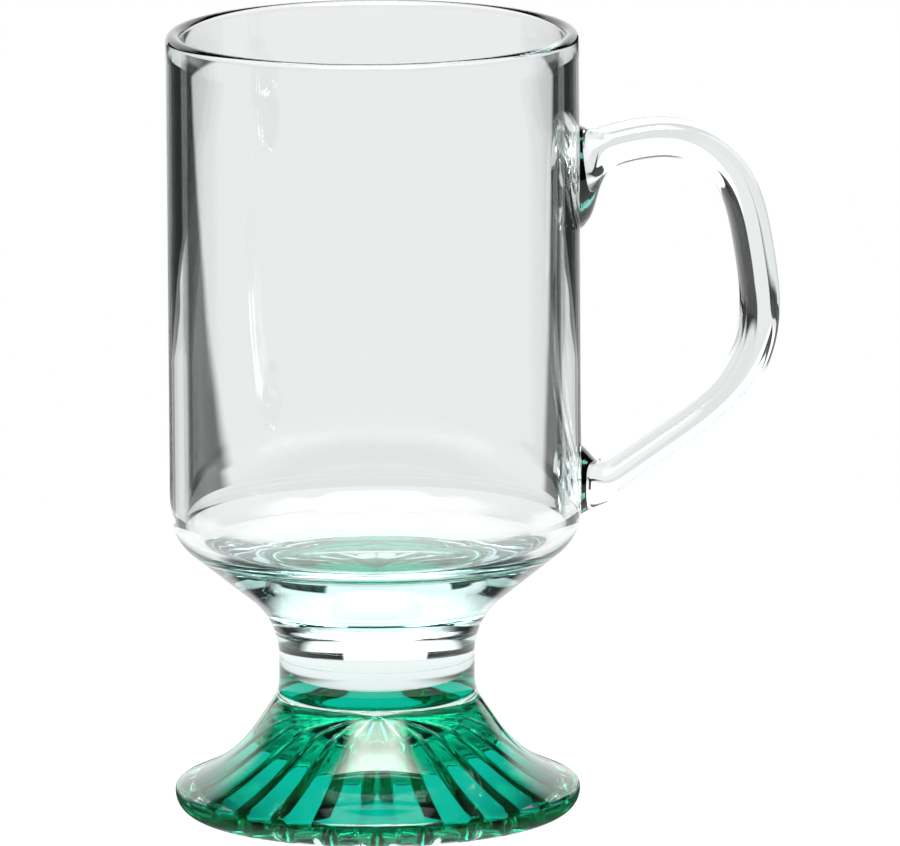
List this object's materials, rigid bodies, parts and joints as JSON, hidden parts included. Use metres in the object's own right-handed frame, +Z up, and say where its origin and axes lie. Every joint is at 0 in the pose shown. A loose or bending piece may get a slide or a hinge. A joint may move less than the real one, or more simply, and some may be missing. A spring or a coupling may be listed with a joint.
{
  "type": "footed glass mug",
  "caption": "Clear glass mug with a straight bowl, a bent bar handle, a short solid stem and a flared foot whose fluted hollow underside is coated translucent green.",
  "frame": {"origin": "centre of the box of bowl and handle, on the surface that the mug stands on", "axes": "+Z up along the bowl's axis, +X from the bowl towards the handle, +Y across the handle"},
  "size_m": [0.1086, 0.073, 0.14],
  "materials": {
    "bowl_glass": "clear fire-polished soda-lime glass",
    "stem_glass": "clear fire-polished soda-lime glass",
    "foot_glass": "clear pressed soda-lime glass",
    "handle_glass": "clear fire-polished soda-lime glass",
    "green_coat": "thin translucent green lacquer"
  },
  "bodies": {
    "root": {"bowl": "bowl_glass", "stem": "stem_glass", "foot": "foot_glass", "foot_colour_coat": "green_coat", "handle": "handle_glass"}
  },
  "joints": []
}
